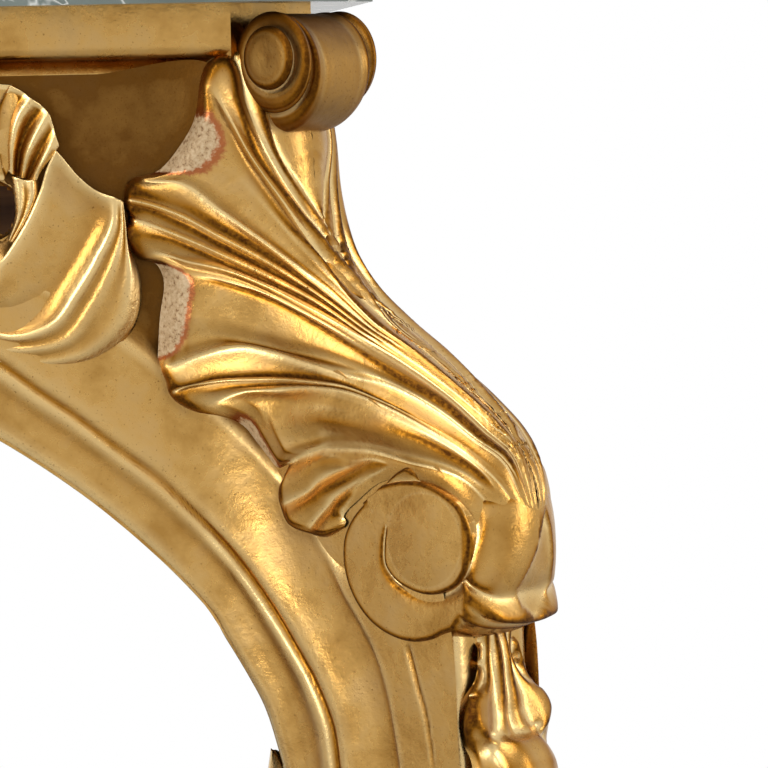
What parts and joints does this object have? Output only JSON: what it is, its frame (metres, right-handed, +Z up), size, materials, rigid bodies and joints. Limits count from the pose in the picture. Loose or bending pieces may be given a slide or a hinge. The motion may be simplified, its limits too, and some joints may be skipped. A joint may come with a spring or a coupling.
{
  "type": "wall console table",
  "caption": "Giltwood rococo wall console table: marble slab, moulded frieze, pierced shell-and-scroll aprons, scrolled legs on block feet and a curved stretcher with a finial.",
  "frame": {"origin": "middle of the table's box on the floor", "axes": "+X along the table's length, to the right for someone facing it; +Y into the wall; +Z up"},
  "size_m": [1.2644, 0.5122, 0.89],
  "materials": {
    "water_gilding": "burnished water gilding on gesso and red bole, with brown patina in the hollows",
    "aged_pine": "bare old pine, oxidised brown",
    "veined_marble": "polished, clouded pale and grey-green",
    "brass_plate": "aged rolled plate",
    "steel_screw": "dulled"
  },
  "bodies": {
    "frame": {"back_rail": "aged_pine", "cross_bearer_left": "aged_pine", "cross_bearer_right": "aged_pine", "front_apron": "water_gilding", "front_c_scroll_left": "water_gilding", "front_c_scroll_right": "water_gilding", "front_cartouche": "water_gilding", "front_cartouche_shell": "water_gilding", "front_foot_block_left": "water_gilding", "front_foot_block_right": "water_gilding", "front_frieze_rail": "water_gilding", "front_glue_blocks_left": "aged_pine", "front_glue_blocks_right": "aged_pine", "front_leg_left": "water_gilding", "front_leg_right": "water_gilding", "front_shell_leaf_left": "water_gilding", "front_shell_leaf_right": "water_gilding", "front_stretcher_arm_left": "water_gilding", "front_stretcher_arm_right": "water_gilding", "inner_leaf_left": "water_gilding", "inner_leaf_right": "water_gilding", "knee_curl_left": "water_gilding", "knee_curl_right": "water_gilding", "knee_leaf_inner_left": "water_gilding", "knee_leaf_inner_right": "water_gilding", "knee_leaf_outer_left": "water_gilding", "knee_leaf_outer_right": "water_gilding", "knee_scroll_left": "water_gilding", "knee_scroll_right": "water_gilding", "leg_leaf_left": "water_gilding", "leg_leaf_right": "water_gilding", "rear_foot_block_left": "water_gilding", "rear_foot_block_right": "water_gilding", "rear_glue_block_left": "aged_pine", "rear_glue_block_right": "aged_pine", "rear_knee_curl_left": "water_gilding", "rear_knee_curl_right": "water_gilding", "rear_knee_leaf_left": "water_gilding", "rear_knee_leaf_right": "water_gilding", "rear_knee_scroll_left": "water_gilding", "rear_knee_scroll_right": "water_gilding", "rear_leg_left": "water_gilding", "rear_leg_right": "water_gilding", "rear_stretcher_arm_left": "water_gilding", "rear_stretcher_arm_right": "water_gilding", "side_apron_left": "water_gilding", "side_apron_right": "water_gilding", "side_c_scroll_left": "water_gilding", "side_c_scroll_right": "water_gilding", "side_frieze_rail_left": "water_gilding", "side_frieze_rail_right": "water_gilding", "side_shell_leaf_left": "water_gilding", "side_shell_leaf_right": "water_gilding", "stretcher_boss": "water_gilding", "stretcher_dowels": "aged_pine", "stretcher_finial": "water_gilding", "wall_plate_screws": "steel_screw", "wall_plates": "brass_plate"},
    "slab": {"marble_top": "veined_marble"}
  },
  "joints": [
    {"name": "top_lift", "type": "slide", "parent": "frame", "child": "slab", "axis": [0, 0, 1], "range_m": [0, 0.08]}
  ]
}
